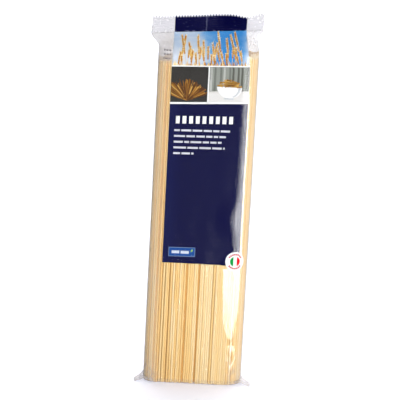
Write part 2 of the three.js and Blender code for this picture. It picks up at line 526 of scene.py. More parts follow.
filmLook = {
    "tint": (0.985, 0.985, 0.98, 1.0),
    "gloss": 0.055,  # share of light that both faces of the film throw back
    "roughness": 0.1,
    "printRoughness": 0.18,
    "haze": ink(209, 206, 206),
    "sideHaze": 0.17,
    # places in metres: what each name marks grows from the first number to the second
    "foot": (0.034, 0.004),
    "fold": (0.0046, 0.0024),
    "top": (0.2485, 0.2535),
    "code": ((0.2455, 0.249), (-0.0255, -0.0275)),
    "shoulder": (0.246, 0.2688),
    "printFoot": (0.094, 0.0955),
    "pastPrint": ((-0.027, -0.0278), (0.0309, 0.0317)),
    "printLeans": (-0.0006, 0.0042),  # how far its edges lean in up the shoulder
    "corners": ((-0.022, -0.034), (0.018, 0.032)),
    "sides": ((-0.0264, -0.0315), (0.031, 0.036)),
    "brinks": ((-0.0358, -0.0375), (0.0362, 0.0376)),
}


def makeClearFilm():
    look = filmLook
    shader = newShader("clear_film")
    height, across = shader.axis("Z"), shader.axis("X")
    cling = shader.noise((620, 620, 9), distortion=0.4)
    crumple = shader.noise((160, 160, 110), detail=3, distortion=1.2)
    low = shader.step(height, *look["foot"])
    high = shader.step(height - across * bag["strandTopSkew"], *look["top"])
    coded = shader.step(height, *look["code"][0]) * shader.step(across, *look["code"][1])
    loose = low * 0.8 + high * 0.16
    normal = shader.bump(cling * 0.14 + crumple * (loose * 0.6 + 0.02), 0.0007, 0.6)
    cloudy = shader.step(crumple, 0.45, 0.75)
    climbed = shader.step(height, *look["shoulder"])
    edges = zip(look["printLeans"], look["pastPrint"])
    pastLeft, pastRight = (shader.step(across + climbed * lean, *past) for lean, past in edges)
    offPrint = pastLeft + pastRight

    def atBothSides(places, leftShare=1.0):
        left, right = (shader.step(across, *place) for place in places)
        return left * leftShare + right

    corner, aside = atBothSides(look["corners"]), atBothSides(look["sides"])
    brink = atBothSides(look["brinks"], 0.6)
    haze = low * corner * (0.08 + cloudy * 0.3) + high * offPrint * (0.31 + cloudy * 0.12)
    haze = haze + coded * 0.2 + (aside * look["sideHaze"] + brink * 0.3) * (1 - high)
    haze = haze + shader.step(height, *look["fold"]) * (0.1 + cloudy * 0.2)
    clear = shader.node("BsdfTransparent", {}, {"Color": look["tint"]})
    white = shader.node("BsdfDiffuse", {}, {"Color": look["haze"]})
    body = shader.node("MixShader", {}, {0: haze, 1: clear, 2: white})
    printedZone = (1 - offPrint) * shader.step(height, *look["printFoot"])
    roughness = look["roughness"] + printedZone * look["printRoughness"]
    gloss = {"Color": (1, 1, 1, 1), "Roughness": roughness, "Normal": normal}
    shine = shader.node("BsdfAnisotropic", {}, gloss)
    facing = shader.node("LayerWeight", {}, {"Blend": 0.5, "Normal": normal}, "Facing")
    edge = look["gloss"] + facing**5 * (1 - look["gloss"])
    return shader.finish(shader.node("MixShader", {}, {0: edge, 1: body, 2: shine}))


# Crimped film, pressed into ribs, which turns milky

crimpLooks = {
    "crimped_film": {
        "tint": (0.86, 0.86, 0.87, 1.0),
        "milk": ink(209, 207, 207),
        "share": 0.4,
        "roughness": 0.22,
    },
    "ear_film": {  # single, and pressed less; its milk is paler as well, painted light that lifts the shade the ears get lying on the floor
        "tint": (0.96, 0.955, 0.955, 1.0),
        "milk": ink(228, 222, 218),
        "share": 0.34,
        "roughness": 0.25,
    },
}


def makeCrimpedFilm(name):
    look = crimpLooks[name]
    shader = newShader(name)
    grain = shader.noise((700, 700, 700))
    bands = shader.noise((60, 60, 900), detail=1)
    sparkle = shader.step(shader.noise((520, 520, 520), detail=0), 0.68, 0.74)
    normal = shader.bump(grain * 0.6 + bands, 0.0004, 0.5)
    milk = look["share"] + (bands - 0.5) * 0.25 + sparkle * 0.4
    clear = shader.node("BsdfTransparent", {}, {"Color": look["tint"]})
    inputs = {"Base Color": look["milk"], "Roughness": look["roughness"], "Normal": normal}
    white = shader.node("BsdfPrincipled", {}, inputs)
    return shader.finish(shader.node("MixShader", {}, {0: milk, 1: clear, 2: white}))


# Print: each flat shape brings its own ink colour


def makeInk():
    shader = newShader("printed_film")
    colour = shader.node("Attribute", {"attribute_name": "ink"}, output="Color")
    cloud = shader.noise((90, 90, 60))
    tone = shader.mix(cloud * 0.02, colour, (1, 1, 1, 1))
    return shader.paint(shader.mix(0.97, colour, tone), shader.bump(cloud, 0.0002, 0.2))


navyLook = {
    "ink": ink(13, 15, 62),
    "left": ink(19, 24, 72),
    "leftEnds": (-0.026, -0.012),  # metres; the paler left side fades out between these
    "seal": ink(7, 9, 54),
    "sealPale": ink(150, 154, 190),
    "wornLine": ((-0.0037, -0.0032), (-0.0023, -0.0029)),  # the ink cracks over the lap seam
    "sealRim": (0.2722, 0.2707),
}


def makeNavy():
    shader = newShader("navy_ink")
    grain = shader.noise((500, 500, 60))
    side = 1 - shader.step(shader.axis("X") + grain * 0.004, *navyLook["leftEnds"])
    colour = shader.mix(side, navyLook["ink"], navyLook["left"])
    return shader.paint(colour, shader.bump(grain, 0.0002, 0.15))


def makeSealInk():  # the navy of the seal, with the film's own gloss
    shader = newShader("seal_ink")
    grain = shader.noise((500, 500, 900))
    # paler flecks stretched along the seal, paler spots along its lower line, and a paler line over
    # the lap seam
    paleFlecks = shader.step(shader.noise((260, 260, 900), detail=1), 0.66, 0.8)
    across, height = shader.axis("X"), shader.axis("Z")
    bent = across + (grain - 0.5) * 0.0012
    left, right = navyLook["wornLine"]
    worn = shader.step(bent, *left) * shader.step(bent, *right)
    rim = shader.step(height - across * bag["sealSkew"], *navyLook["sealRim"])
    pucker = rim * shader.step(shader.noise((330, 330, 330), detail=1), 0.55, 0.68)
    share = paleFlecks * 0.12 + worn * (0.05 + grain * 0.22) + pucker * 0.5
    colour = shader.mix(share, navyLook["seal"], navyLook["sealPale"])
    return shader.paint(colour, shader.bump(grain, 0.0003, 0.3), roughness=0.3, specular=0.1)


skyLook = {
    "deep": ink(58, 138, 208),
    "mid": ink(112, 166, 216),
    "pale": ink(206, 214, 226),
    "blueAcross": ((-0.014, 0.012), (0.031, 0.019)),  # metres; deep blue between these edges
    "blueUp": (0.246, 0.268),
}


def makeSky():
    shader = newShader("sky_print")
    across, height = shader.axis("X"), shader.axis("Z")
    cloud = shader.noise((55, 55, 130), detail=4, distortion=0.5)
    left, right = (shader.step(across, *edge) for edge in skyLook["blueAcross"])
    upper = shader.step(height, *skyLook["blueUp"])
    blue = shader.step(cloud * 0.55 + left * right * 0.5 + upper * 0.12, 0.25, 0.85)
    stops = [(0.0, skyLook["pale"]), (0.55, skyLook["mid"]), (1.0, skyLook["deep"])]
    colour = shader.node("ValToRGB", {"stops": stops}, {"Fac": blue}, "Color")
    return shader.paint(colour)


pasta = makePasta()
clearFilm = makeClearFilm()
crimpedFilm = makeCrimpedFilm("crimped_film")
earFilm = makeCrimpedFilm("ear_film")
inkFinish = makeInk()
navyInk = makeNavy()
sealInk = makeSealInk()
skyInk = makeSky()
print("Finishes made")


# Strands: packed side by side in the bag, each with a little wander

strands = {
    "radius": 0.875,
    "clearance": 0.38,  # between the outer strands and the film
    "seed": 11,
    "grid": (40, 14, 1.3, 0.9),  # columns, rows, gap to the bag, shift of every other row
    "scatter": 0.3,
    "levels": (0.0, 48.0, 100.0, 152.0, 204.0, 256.0),
    "wander": 0.15,
    "rounds": (150, 26),  # of pushing apart, at first and at each level
    "outerDepth": 2.3,  # strands this near the film get more sides
    "outerCorner": ((27, 3.5), 5.2),
    "topUneven": 1.3,
    "topShort": 2.2,  # a few end this much lower
    "leftLower": 2.4,  # how much lower the strands on the far left end
    "leftFrom": (-30, -24),
    "footGap": (0.5, 0.9),
    "shade": (0.46, 0.9),  # darkest and palest strand at the film
    "sideShade": 0.3,  # painted shade: how much darker the strand sides are, and the rows behind
    "backShade": 0.42,
    "loose": (0.12, 0.4),  # share of strands that keep away from their neighbours, and how far
}


def cornerRadius(points, inset=0.0):  # of the bag's corner that is nearest to each point
    frontRight, backRight, backLeft, frontLeft = (r - inset for r in bag["corners"])
    right, front = points[:, 0] > 0, points[:, 1] < 0
    onRight, onLeft = np.where(front, frontRight, backRight), np.where(front, frontLeft, backLeft)
    return np.where(right, onRight, onLeft)


def keepInside(points):
    inset = strands["radius"] + strands["clearance"]
    halfX, halfY = bag["width"] / 2 - inset, bag["depth"] / 2 - inset
    radius = cornerRadius(points, inset)
    middle = np.stack([halfX - radius, halfY - radius], axis=1)
    size = np.abs(points)
    over = size - middle
    reach = np.hypot(*over.T)
    inCorner = (over > 0).all(axis=1) & (reach > radius)
    shrink = np.where(inCorner, radius / np.maximum(reach, 1e-6), 1.0)
    cornered = middle + over * shrink[:, None]
    size = np.where(inCorner[:, None], cornered, np.minimum(size, (halfX, halfY)))
    return size * np.where(points < 0, -1, 1)


def pushApart(points, rounds, spare):
    gap = 2 * strands["radius"] + 0.02 + spare[:, None] + spare
    for _ in range(rounds):
        away = points[:, None] - points[None]
        far = np.hypot(away[..., 0], away[..., 1]) + np.eye(len(points)) * 99
        push = np.clip(gap - far, 0, None) / (far + 1e-6)
        points = keepInside(points + 0.45 * (away * push[..., None]).sum(axis=1))
    return points


def packStrands():
    draw = np.random.default_rng(strands["seed"])
    columns, rows, gap, shift = strands["grid"]
    halfX, halfY = bag["width"] / 2 - gap, bag["depth"] / 2 - gap
    xs = np.linspace(-halfX, halfX, columns)
    ys = np.linspace(-halfY, halfY, rows)
    grid = np.array([(x + shift * (j % 2) - shift / 2, y) for j, y in enumerate(ys) for x in xs])
    moved = keepInside(grid)
    kept = grid[np.hypot(*(moved - grid).T) < 1.1]  # a corner has room for fewer
    share, extra = strands["loose"]
    atFirst, eachLevel = strands["rounds"]
    spare = np.where(draw.random(len(kept)) < share, extra, 0.0)
    points = pushApart(kept + draw.normal(0, strands["scatter"], kept.shape), atFirst, spare)
    levels = []
    for _ in strands["levels"]:
        shifts = draw.normal(0, strands["wander"], points.shape)
        levels.append(pushApart(points + shifts, eachLevel, spare))
    return np.array(levels)


def strandTube(curve, centres, foot, top, steps):
    spline = curve.splines.new("POLY")
    spline.points.add(steps)
    heights = np.linspace(foot, top, steps + 1)
    for point, height in zip(spline.points, heights):
        share = np.interp(height, strands["levels"], range(len(centres)))
        low = min(int(share), len(centres) - 2)
        x, y = blend(centres[low], centres[low + 1], smooth(0, 1, share - low))
        point.co = (x * mm, (y + bag["middleY"]) * mm, height * mm, 1)


def tubesToMesh(name, curve, sides):
    curve.dimensions = "3D"
    curve.bevel_depth = strands["radius"] * mm
    curve.bevel_resolution = (sides - 4) // 2
    curve.use_fill_caps = True
    holder = bpy.data.objects.new(name, curve)
    bpy.context.scene.collection.objects.link(holder)
    evaluated = holder.evaluated_get(bpy.context.evaluated_depsgraph_get())
    mesh = bpy.data.meshes.new_from_object(evaluated)
    bpy.data.objects.remove(holder)
    return mesh


def depthInside(points):  # how far each point lies under the film, by its x and y
    points = points - (0, bag["middleY"])
    radius = cornerRadius(points)
    over = np.abs(points) - np.stack([bag["width"] / 2 - radius, bag["depth"] / 2 - radius], axis=1)
    outside = np.hypot(*np.maximum(over, 0).T)
    return radius - outside - np.minimum(over.max(axis=1), 0)


def softStep(values, low, high):
    share = np.clip((values - low) / (high - low), 0, 1)
    return share * share * (3 - 2 * share)


def buildStrands():
    draw = random.Random(strands["seed"])
    levels = packStrands()
    inset = strands["radius"] + strands["clearance"]
    parts = []
    for outer, sides, steps in ((True, 12, 15), (False, 8, 6)):
        curve = bpy.data.curves.new("strands", "CURVE")
        shades = []
        for index in range(levels.shape[1]):
            centres = levels[:, index]
            size = np.abs(centres[2])
            depth = min(bag["width"] / 2 - inset - size[0], bag["depth"] / 2 - inset - size[1])
            start, reach = strands["outerCorner"]
            corner = np.hypot(*np.maximum(0, size - start)) > reach
            if (depth < strands["outerDepth"] or corner) != outer:
                continue
            skew = bag["strandTopSkew"] * centres[-1][0]
            short = draw.random() ** 3 * strands["topShort"]
            top = bag["strandTop"] + skew + draw.uniform(-1, 0.6) * strands["topUneven"] - short
            top -= strands["leftLower"] * (1 - smooth(*strands["leftFrom"], centres[-1][0]))
            foot = strands["footGap"][0] + draw.random() ** 2 * strands["footGap"][1]
            strandTube(curve, centres, foot, top, steps)
            shades.append(blend(*strands["shade"], draw.random()))
        mesh = tubesToMesh("strands", curve, sides)
        each = len(mesh.vertices) // len(shades)
        places = np.array([tuple(v.co)[:2] for v in mesh.vertices]) / mm
        # painted shade: the deeper a point lies under the film, the darker it is, on the strands'
        # sides and on the rows behind
        layer = (depthInside(places) - strands["clearance"]) / strands["radius"]
        between = strands["sideShade"] * softStep(layer, 0.15, 1.0)
        behind = strands["backShade"] * softStep(layer, 1.0, 2.2)
        values = (np.repeat(shades, each) - between - behind).astype(np.float32)
        mesh.attributes.new("strandShade", "FLOAT", "POINT").data.foreach_set("value", values)
        for polygon in mesh.polygons:
            polygon.use_smooth = len(polygon.vertices) == 4
        parts.append(makeObject("strands", mesh, pasta))
    with bpy.context.temp_override(active_object=parts[0], selected_editable_objects=parts):
        bpy.ops.object.join()
    return parts[0]


pastaStrands = buildStrands()
pastaStrands.name = "pasta_strands"
print("Strands:", len(pastaStrands.data.polygons), "faces")


# Film tube round the strands, with its end folded in under them

tube = {
    "columns": 190,
    "foot": (  # level, share of the width, share of the depth
        (0.12, 0.86, 0.02),
        (0.1, 0.88, 0.5),
        (0.1, 0.965, 0.86),
        (0.4, 0.99, 0.965),
        (1.2, 0.998, 0.99),
    ),
    "rows": ((2.2, 101, 1.6), (102, 249, 3.5), (250.5, 271.2, 0.95)),  # from, to, step
}


def tubePoint(around, row):
    if isinstance(row, tuple):
        level, acrossX, acrossY = row
        point = filmPoint(around, 2.0)
        middle = Vector((0, bag["middleY"], 0))
        return Vector((point.x * acrossX, middle.y + (point.y - middle.y) * acrossY, level))
    return filmPoint(around, row)


def buildTube():
    columns = [outlineLength * i / tube["columns"] for i in range(tube["columns"])]
    heights = [height for row in tube["rows"] for height in np.arange(*row)]
    sheet = sheetMesh(columns, [*tube["foot"], *heights], tubePoint, closed=True)
    rim = list(sheet.verts)
    sheet.faces.new(rim[: len(columns)][::-1])  # the folded end under the strands
    sheet.faces.new(rim[-len(columns):])  # hidden in the top seal
    return pieceFrom("film_tube", sheet, clearFilm)


filmTube = buildTube()


sealTeeth = round(bag["sealWidth"] / seal["toothPitch"])
sealNotch = bag["sealHeight"] + seal["toothRise"] - seal["toothHeight"]


def sealRows(foot):  # up to the notches between the teeth, and one row for the teeth
    last = seal["rows"] - 1
    return [foot + (sealNotch - foot) * i / last for i in range(last + 1)] + [bag["sealHeight"]]


def buildSeal():
    left = bag["sealOffset"] - bag["sealWidth"] / 2
    count = 4 * sealTeeth
    xs = [left + bag["sealWidth"] * i / count for i in range(count + 1)]
    toothed = {x: float(i % 4 < 2) for i, x in enumerate(xs)}

    def place(x, up):
        if up > sealNotch:
            up = sealNotch + seal["toothHeight"] * toothed[x] + 0.02
        return sealPoint(x, up, 0.18)

    return thicken(pieceFrom("top_seal", sheetMesh(xs, sealRows(-0.6), place), crimpedFilm), 0.36)


topSeal = buildSeal()
print("Film tube and seal made")


# Print. Shapes lie in film coordinates, across from the middle and up from the ground

printed = {
    "left": -27.4,
    "right": 31.4,
    "bottom": 95.1,
    "bottomRise": -0.1,
    "lowerLine": (216.3, 219.1),  # left and right end
    "upperLine": (244.4, 246.7),
    "divider": 0.6,
    "coat": 0.0015,  # thickness of a coat of ink
}


def spoke(s, z, radius, angle):
    return s + radius * math.cos(angle), z + radius * math.sin(angle)


class PrintSheet:
    # gathers flat shapes of ink, draped over the film just under its surface
    def __init__(self, name, depth):
        self.name = name
        self.depth = depth
        self.coat = 0  # later coats of ink lie over earlier ones
        self.sheet = bmesh.new()
        self.layer = self.sheet.verts.layers.float_color.new("ink")

    def shape(self, points, colour):
        corners = [self.sheet.verts.new((s, z, self.coat * printed["coat"])) for s, z in points]
        for corner in corners:
            corner[self.layer] = colour
        self.sheet.faces.new(corners).smooth = True

    def slab(self, sides, lows, highs, colour):  # upright sides; lows and highs by side
        start, end = sides
        self.shape([(start, lows[0]), (end, lows[1]), (end, highs[1]), (start, highs[0])], colour)

    def cut(self, axis, places):  # straight cuts, so that a shape can bend with the film
        normal = Vector((0, 0, 0))
        normal[axis] = 1
        for place in places:
            everything = list(self.sheet.verts) + list(self.sheet.edges) + list(self.sheet.faces)
            bmesh.ops.bisect_plane(
                self.sheet, geom=everything, dist=1e-4, plane_co=normal * place, plane_no=normal
            )

    def oval(self, s, z, halfLength, halfWidth, angle, colour, sides=9):
        ca, sa = math.cos(angle), math.sin(angle)
        points = []
        for i in range(sides):
            turn = 2 * math.pi * i / sides
            along, aside = halfLength * math.cos(turn), halfWidth * math.sin(turn)
            points.append((s + along * ca - aside * sa, z + along * sa + aside * ca))
        self.shape(points, colour)

    def stroke(self, start, end, width, colour, endWidth=None):
        (ax, az), (bx, bz) = start, end
        length = math.hypot(bx - ax, bz - az) or 1.0
        nx, nz = -(bz - az) / length / 2, (bx - ax) / length / 2
        tip = width if endWidth is None else endWidth
        points = [
            (ax + nx * width, az + nz * width),
            (ax - nx * width, az - nz * width),
            (bx - nx * tip, bz - nz * tip),
            (bx + nx * tip, bz + nz * tip),
        ]
        self.shape(points, colour)

    def ring(self, s, z, inner, outer, start, end, colour, steps=4):
        for i in range(steps):
            a, b = (math.radians(blend(start, end, (i + k) / steps)) for k in (0, 1))
            points = [(inner, a), (outer, a), (outer, b), (inner, b)]
            self.shape([spoke(s, z, r, t) for r, t in points], colour)

    def finish(self, material=None, acrossStep=1.3, heightStep=2.0):
        places = np.array([tuple(v.co)[:2] for v in self.sheet.verts])
        (lowS, lowZ), (highS, highZ) = places.min(axis=0), places.max(axis=0)
        self.cut(0, np.arange(lowS + acrossStep / 2, highS, acrossStep))
        self.cut(1, np.arange(lowZ + heightStep / 2, highZ, heightStep))
        for corner in self.sheet.verts:
            corner.co = onFilm(corner.co.x, corner.co.y, corner.co.z - self.depth) * mm
        self.sheet.normal_update()
        for face in self.sheet.faces:
            if face.normal.y > 0:
                face.normal_flip()
        return thicken(pieceFrom(self.name, self.sheet, material or inkFinish), 0.02)


def lineHeight(name, s):  # height of a white line, by its name
    share = (s - printed["left"]) / (printed["right"] - printed["left"])
    return blend(*printed[name], share)


left, right = printed["left"], printed["right"]
white = ink(250, 250, 247)


def buildPanel():
    sheet = PrintSheet("print_panel", 0.2)
    lows = (printed["bottom"], printed["bottom"] + printed["bottomRise"])
    sheet.slab((left, right), lows, printed["lowerLine"], navyLook["ink"])
    return sheet.finish(navyInk)


def buildSky():
    sheet = PrintSheet("print_sky", 0.17)
    ends = (bag["sealOffset"] + s * sealScale for s in (left, right))
    roots = [bag["sealRoot"] + bag["sealSkew"] * x for x in ends]
    sheet.slab((left, right), printed["upperLine"], roots, white)
    return sheet.finish(skyInk, heightStep=1.0)


def buildWhiteLines():
    sheet = PrintSheet("print_lines", 0.08)
    for name, width in (("upperLine", 0.9), ("lowerLine", 1.5)):
        sheet.slab((left, right), printed[name], [z + width for z in printed[name]], white)
    s = printed["divider"]
    low, high = (lineHeight(name, s) for name in ("lowerLine", "upperLine"))
    sheet.slab((s - 0.5, s + 0.5), (low, low), (high, high), white)
    return sheet.finish()


# Ears of wheat against the sky

wheatLook = {
    "seed": 5,
    "golds": (ink(240, 190, 94), ink(250, 218, 146), ink(224, 164, 72), ink(252, 238, 200)),
    "husk": ink(184, 120, 48),
    "stalk": ink(236, 196, 120),
    "tall": (11, 15.0, 24.0, 14.5),  # how many, least and most rise, length of the ear
    "short": (17, 7.0, 14.0, 8.5),
    "tufts": 50,
    "steps": 10,
    "grain": (0.95, 0.5, 1.5),  # half length, half width, pitch along the ear
    "top": 268,  # no beard reaches higher
}


def wheatEar(sheet, foot, rise, length, lean, draw):
    # a bent stalk with two rows of grains near its tip
    bend = draw.uniform(-0.22, 0.22)
    golds = wheatLook["golds"]

    def stem(share):
        s = foot[0] + rise * (math.tan(lean) * share + bend * 0.35 * share * share)
        return s, foot[1] + rise * share

    def bentStroke(start, end, width, colour):
        steps = wheatLook["steps"]
        for i in range(steps):
            ends = (stem(blend(start, end, (i + k) / steps)) for k in (0, 1))
            sheet.stroke(*ends, width, colour)

    bentStroke(0, 1, 0.34, wheatLook["stalk"])
    first = 1 - length / rise
    sheet.coat += 1
    bentStroke(first, 0.985, 1.1, wheatLook["husk"])
    grainLength, grainWidth, pitch = wheatLook["grain"]
    count = int(length / pitch)
    for i in range(count):
        share = blend(1, first, i / count)
        (s, z), (t, w) = stem(share), stem(share - 0.04)
        angle = math.atan2(z - w, s - t)
        swell = 0.62 + 0.45 * math.sin(math.pi * min(1, (i + 1.5) / (count + 1)))
        for side in (-1, 1):
            tilt = angle + side * 0.5
            aside, down = 0.45 * swell * side, 0.2 * side
            middle = (
                s - math.sin(angle) * aside - math.cos(angle) * down,
                z + math.cos(angle) * aside - math.sin(angle) * down,
            )
            sheet.coat += side
            colour = golds[draw.choice((0, 0, 1, 1, 3))]
            sheet.oval(*middle, grainLength * swell, grainWidth * swell, tilt, colour)
            if draw.random() < 0.3:  # a beard
                reach = draw.uniform(2.2, 4.0)
                end = spoke(*middle, reach, tilt)
                if end[1] < wheatLook["top"] and left + 1 < end[0] < right - 1:
                    sheet.stroke(middle, end, 0.13, golds[3], 0.05)


def buildWheat():
    sheet = PrintSheet("print_wheat", 0.14)
    draw = random.Random(wheatLook["seed"])
    for kind in ("tall", "short"):
        count, least, most, length = wheatLook[kind]
        for i in range(count):
            s = blend(left + 3.5, right - 3.5, (i + draw.uniform(0.15, 0.85)) / count)
            rise = draw.uniform(least, most)
            low = lineHeight("upperLine", s) + 0.8
            lean = draw.uniform(-0.2, 0.2)
            if abs(s) > 20:
                lean = -math.copysign(abs(lean), s)
            sheet.coat = 2 + 5 * (i % 5) + (2 if kind == "tall" else 0)
            reach = min(length * draw.uniform(0.8, 1.05), rise * 0.93)
            wheatEar(sheet, (s, low), rise, reach, lean, draw)
    for i in range(wheatLook["tufts"]):
        s = blend(left + 1.2, right - 1.2, i / (wheatLook["tufts"] - 1))
        low = lineHeight("upperLine", s) + 0.8
        tipAt = min(right - 0.3, max(left + 0.3, s + draw.uniform(-1, 1)))
        tip = (tipAt, low + draw.uniform(1.2, 3.8))
        sheet.coat = 32 + i % 3
        colour = (*wheatLook["golds"], wheatLook["husk"])[draw.randrange(5)]
        sheet.stroke((s, low), tip, draw.uniform(0.7, 1.3), colour, 0.15)
    return sheet.finish(heightStep=1.3)


# Two plain pictures under the sky: loose strands on dark cloth, and a bowl with a nest

pictureLook = {
    "dark": ink(52, 50, 47),
    "golds": (ink(184, 134, 56), ink(214, 168, 84), ink(150, 98, 32), ink(92, 56, 18)),
    "wall": ink(142, 146, 138),
    "wallBands": (ink(116, 120, 112), ink(182, 184, 178), ink(92, 94, 86)),
    "table": ink(222, 220, 216),
    "bowl": ink(244, 244, 243),
    "bowlShade": ink(205, 208, 210),
    "seed": 8,
    "strands": 150,
    "fan": (-15.0, 10, 21),  # its foot, and the least and most reach
    "bands": 9,
    "tableHeight": 8.4,
    "bowlAt": (16.4, 12.6),  # middle, and how far the rim is above the white line
    "bowlSize": (9.4, 8.4),  # half width, depth
    "nest": 90,
    "nestSize": (7.6, 5.2),
}


def pictureGround(name, start, end, colour):
    sheet = PrintSheet(name, 0.17)
    lows = [lineHeight("lowerLine", s) + 1.2 for s in (start, end)]
    highs = [lineHeight("upperLine", s) + 0.2 for s in (start, end)]
    sheet.slab((start, end), lows, highs, colour)
    return sheet.finish(), lows


def buildLeftPicture():
    look = pictureLook
    edge = printed["divider"]
    ground, _ = pictureGround("print_picture_left", left, edge - 0.3, look["dark"])
    sheet = PrintSheet("print_picture_strands", 0.12)
    draw = random.Random(look["seed"])
    low = lineHeight("lowerLine", -14) + 1.6
    foot, least, most = look["fan"]
    golds = look["golds"]
    for i in range(look["strands"]):
        share = draw.random()
        angle = math.radians(blend(164, 24, share))
        reach = blend(least, most, draw.random() ** 0.6) * (1 - 0.28 * abs(share - 0.4))
        start = draw.uniform(0.0, 7)
        shaded = start < 3.2 and draw.random() < 0.7
        colour = golds[3] if shaded else golds[draw.choice((0, 1, 2, 2, 3))]
        points = []
        for r in (start, reach):
            s = min(edge - 0.7, max(left + 0.3, foot + math.cos(angle) * r))
            z = low + 1.0 + math.sin(angle) * r * 0.82
            points.append((s, min(lineHeight("upperLine", s) - 0.4, max(low - 0.2, z))))
        if math.dist(*points) > 1:
            sheet.coat = i % 40
            sheet.stroke(*points, draw.uniform(0.45, 0.8), colour)
    return ground, sheet.finish()


def arc(halfWidth, depth, start, end, count):  # of the bowl, below its rim
    angles = np.linspace(start, end, count)
    return [(halfWidth * math.cos(a), depth * math.sin(a)) for a in angles]


def buildRightPicture():
    look = pictureLook
    start = printed["divider"] + 0.3
    ground, lows = pictureGround("print_picture_right", start, right, look["wall"])
    back, bowl, nest = (
        PrintSheet(name, depth)
        for name, depth in (("print_picture_bowl", 0.12), ("print_bowl", 0.1), ("print_nest", 0.08))
    )
    draw = random.Random(look["seed"] + 1)
    for i in range(look["bands"]):
        s = blend(start + 1.5, right - 2.5, i / (look["bands"] - 1)) + draw.uniform(-0.8, 0.8)
        low, high = lineHeight("lowerLine", s) + 9, lineHeight("upperLine", s) - 0.3
        colour = look["wallBands"][draw.randrange(3)]
        back.shape([(s - 0.9, low), (s + 0.9, low), (s + 0.7, high), (s - 0.7, high)], colour)
    back.slab((start, right), lows, [z + look["tableHeight"] for z in lows], look["table"])
    middle, rise = look["bowlAt"]
    rim = lineHeight("lowerLine", middle) + rise
    halfWidth, depth = look["bowlSize"]

    def bowlShape(sheet, points, colour, lift=0.0):
        sheet.shape([(middle + s, rim + z + lift) for s, z in points], colour)

    bowlShape(bowl, arc(halfWidth, depth, -math.pi, 0, 22), look["bowl"])
    shade = arc(0.9 * halfWidth, 8.0, -1.2, 0, 10) + arc(0.7 * halfWidth, 7.2, 0, -1.2, 10)
    bowlShape(nest, shade, look["bowlShade"], -0.2)
    bowlShape(bowl, [(-4, -9.6), (4, -9.6), (3.4, -8), (-3.4, -8)], look["bowlShade"])
    width, height = look["nestSize"]
    for i in range(look["nest"]):
        angle, reach = draw.uniform(0, math.pi), draw.uniform(0.2, 1)
        s = middle + math.cos(angle) * width * reach
        z = rim + 0.2 + math.sin(angle) * height * reach
        turn = draw.uniform(-0.8, 0.8)
        colour = look["golds"][draw.choice((0, 1, 1, 2))]
        along, upward = math.cos(turn) * 1.9, math.sin(turn) * 0.95
        layer = nest if i % 2 else bowl
        layer.stroke((s - along, z - upward), (s + along, z + upward), 0.75, colour)
    return ground, back.finish(), bowl.finish(), nest.finish()


# Plain blocks and bars on the navy panel

blocksLook = {
    "blocks": (-22.4, 20.3, 201.9, 207.6, 1.4),  # left, right, low, high, rise to the right
    "blockCount": 9,
    "blockWidth": 2.9,
    "rows": ((196.8, 18.5), (192.45, 15.6), (188.1, 12.6), (183.75, 15.2), (179.4, -7.9)),
    "rowLeft": -23.2,
    "rowHeight": 1.5,
    "rowSlope": 0.022,
    "barSlope": 0.02,
    "barInk": ink(214, 216, 226),
    "seed": 21,
}


def buildBlocks():
    look = blocksLook
    sheet = PrintSheet("print_blocks", 0.08)
    start, end, low, high, rise = look["blocks"]
    count, width = look["blockCount"], look["blockWidth"]
    gap = (end - start - width * count) / (count - 1)
    for i in range(count):
        sides = [start + (width + gap) * i + k * width for k in (0, 1)]
        lifts = [rise * (s - start) / (end - start) for s in sides]
        sheet.slab(sides, [low + z for z in lifts], [high + z for z in lifts], white)
    draw = random.Random(look["seed"])
    for middle, rowEnd in look["rows"]:
        s = look["rowLeft"]
        while s < rowEnd - 1:
            width = min(draw.uniform(3.2, 9.5), rowEnd - s)
            low = middle - look["rowHeight"] / 2 + look["rowSlope"] * (s - look["rowLeft"])
            lows = (low, low + look["barSlope"] * width)
            sheet.slab((s, s + width), lows, [z + look["rowHeight"] for z in lows], look["barInk"])
            s += width + 1.0
    return sheet.finish()


plateLook = {
    "box": (-23.0, -2.8, 100.1, 107.3),
    "rise": 0.3,
    "edge": 0.45,
    "bars": ((2.4, 8.2), (9.2, 15.4)),  # from and to, from the plate's left side
    "blue": ink(18, 74, 146),
    "border": ink(110, 134, 172),
    "barInk": ink(214, 222, 236),
    "leaf": ink(150, 205, 80),
}


def buildPlate():
    look = plateLook
    start, end, low, high = look["box"]
    lows, highs = (low, low + look["rise"]), (high, high + look["rise"])
    sheet = PrintSheet("print_plate", 0.12)
    sheet.slab((start, end), lows, highs, look["blue"])
    ground = sheet.finish()
    sheet = PrintSheet("print_plate_border", 0.08)
    edge = look["edge"]
    sheet.slab((start, end), lows, [z + edge for z in lows], look["border"])
    sheet.slab((start, end), [z - edge for z in highs], highs, look["border"])
    for s in (start, end - edge):
        sheet.slab((s, s + edge), (low + edge,) * 2, (high - edge,) * 2, look["border"])
    for bar in look["bars"]:
        sides = [start + s for s in bar]
        sheet.slab(sides, (low + 2.4, low + 2.5), (low + 4.6, low + 4.7), look["barInk"])
    sheet.oval(end - 2.6, high - 2.2, 1.2, 0.6, 1.0, look["leaf"], 10)
    return ground, sheet.finish()


badgeLook = {
    "middle": (27.8, 98.2),
    "radius": 7.4,
    "roundel": 3.9,
    "green": ink(10, 145, 62),
    "red": ink(226, 20, 30),
    "ring": ink(186, 26, 46),
    "ringSize": (4.7, 6.2),
    "ringArcs": ((28, 152, 8), (212, 328, 7)),  # from and to, in degrees, and marks
    "cuts": 0.6,
}


